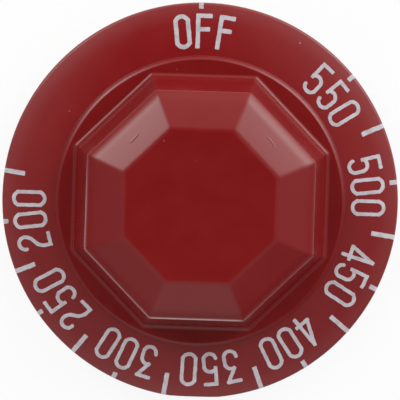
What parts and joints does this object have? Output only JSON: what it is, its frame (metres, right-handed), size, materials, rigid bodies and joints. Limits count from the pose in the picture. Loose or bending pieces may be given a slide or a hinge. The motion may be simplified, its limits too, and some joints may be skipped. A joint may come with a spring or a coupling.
{
  "type": "thermostat dial",
  "caption": "Round thermostat dial with a domed skirt, a stamped temperature scale, a faceted eight-sided grip and a flat-sided shaft socket with a hairpin spring.",
  "frame": {"origin": "centre of the dial's back rim plane", "axes": "+Z out of the dial's face along the shaft axis, +Y towards the OFF mark, +X to the right as the face is read"},
  "size_m": [0.0572, 0.057, 0.0191],
  "materials": {
    "moulded_body": "deep red moulded thermoset, semi-gloss",
    "spring_steel": "bright spring steel strip",
    "stamp_film": "off-white hot-stamped film"
  },
  "bodies": {
    "root": {"dial_body": "moulded_body", "shaft_spring": "spring_steel", "off_label": "stamp_film", "temperature_numbers": "stamp_film", "tick_marks": "stamp_film"}
  },
  "joints": []
}
